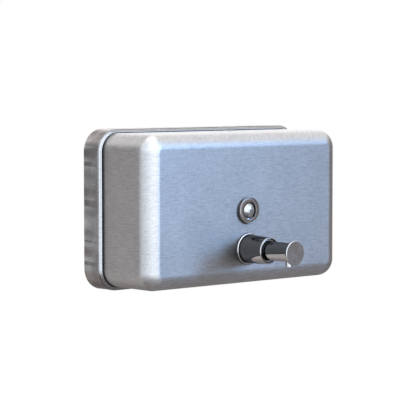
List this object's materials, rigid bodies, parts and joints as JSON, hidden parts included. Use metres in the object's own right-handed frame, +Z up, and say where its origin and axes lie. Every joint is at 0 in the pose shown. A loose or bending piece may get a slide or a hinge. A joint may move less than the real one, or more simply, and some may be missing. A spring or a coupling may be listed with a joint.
{
  "type": "wall mounted soap dispenser",
  "caption": "Horizontal wall mounted soap dispenser: steel tank in a rear shroud, hinged locking filler lid, sight window and spring-returned push valve with spout.",
  "frame": {"origin": "middle of the wall face, at the body's mid-width and mid-height", "axes": "+X along the body's width, +Y into the wall, +Z up; the front and the push valve face -Y"},
  "size_m": [0.206, 0.1219, 0.1216],
  "materials": {
    "shell_steel": "satin stainless steel with a fine horizontal grain",
    "shroud_steel": "satin stainless steel, slightly wavy",
    "chrome": "polished",
    "zinc_plate": "zinc plated steel",
    "spring_steel": "bright drawn stainless steel",
    "rubber": "matt",
    "plastic": "natural acetal",
    "lens": "clear acrylic over bright metal, polished"
  },
  "bodies": {
    "dispenser": {"front_shell": "shell_steel", "tank_back": "shell_steel", "rear_shroud": "shroud_steel", "filler_frame": "shroud_steel", "valve_cylinder": "shroud_steel", "window_bezel": "chrome", "valve_escutcheon": "chrome", "valve_sleeve": "chrome", "hanger_rail": "zinc_plate", "wall_plate": "zinc_plate", "wall_screw_1": "zinc_plate", "wall_screw_2": "zinc_plate", "wall_screw_3": "zinc_plate", "wall_screw_4": "zinc_plate", "retaining_screw_left": "zinc_plate", "retaining_screw_right": "zinc_plate", "lid_hinge_pin": "zinc_plate", "window_nut": "zinc_plate", "valve_nut": "zinc_plate", "cage_pin": "zinc_plate", "return_spring": "spring_steel", "inlet_spring": "spring_steel", "lid_gasket": "rubber", "window_gasket": "rubber", "valve_gasket": "rubber", "lens_retainer": "plastic", "inlet_seat": "plastic", "inlet_housing": "plastic", "intake_tube": "plastic", "window_lens": "lens"},
    "plunger": {"plunger_tube": "chrome", "push_cap": "chrome", "spout_nozzle": "chrome", "piston": "plastic", "piston_seal": "rubber", "outlet_spring": "spring_steel"},
    "outlet_ball": {"outlet_ball": "spring_steel"},
    "inlet_ball": {"inlet_ball": "spring_steel"},
    "lid": {"filler_lid": "shell_steel", "lock_housing": "chrome"},
    "lock": {"lock_barrel": "chrome", "lock_cam": "zinc_plate", "lock_cam_screw": "zinc_plate"}
  },
  "joints": [
    {"name": "plunger_push", "type": "slide", "parent": "dispenser", "child": "plunger", "axis": [0, 1, 0], "range_m": [0, 0.015], "stiffness_N_per_m": 350, "springref_m": -0.01, "deforming": ["return_spring"]},
    {"name": "outlet_ball_lift", "type": "slide", "parent": "plunger", "child": "outlet_ball", "axis": [0, -1, 0], "range_m": [0, 0.0012], "stiffness_N_per_m": 30, "springref_m": -0.002, "deforming": ["outlet_spring"]},
    {"name": "inlet_ball_lift", "type": "slide", "parent": "dispenser", "child": "inlet_ball", "axis": [0, -1, 0], "range_m": [0, 0.0012], "stiffness_N_per_m": 30, "springref_m": -0.002, "deforming": ["inlet_spring"]},
    {"name": "lid_hinge", "type": "hinge", "parent": "dispenser", "child": "lid", "pos_m": [0, -0.0227, 0.05565], "axis": [-1, 0, 0], "range_deg": [0, 95]},
    {"name": "lock_turn", "type": "hinge", "parent": "lid", "child": "lock", "pos_m": [0, -0.0459, 0.05785], "axis": [0, 0, -1], "range_deg": [0, 90]}
  ]
}
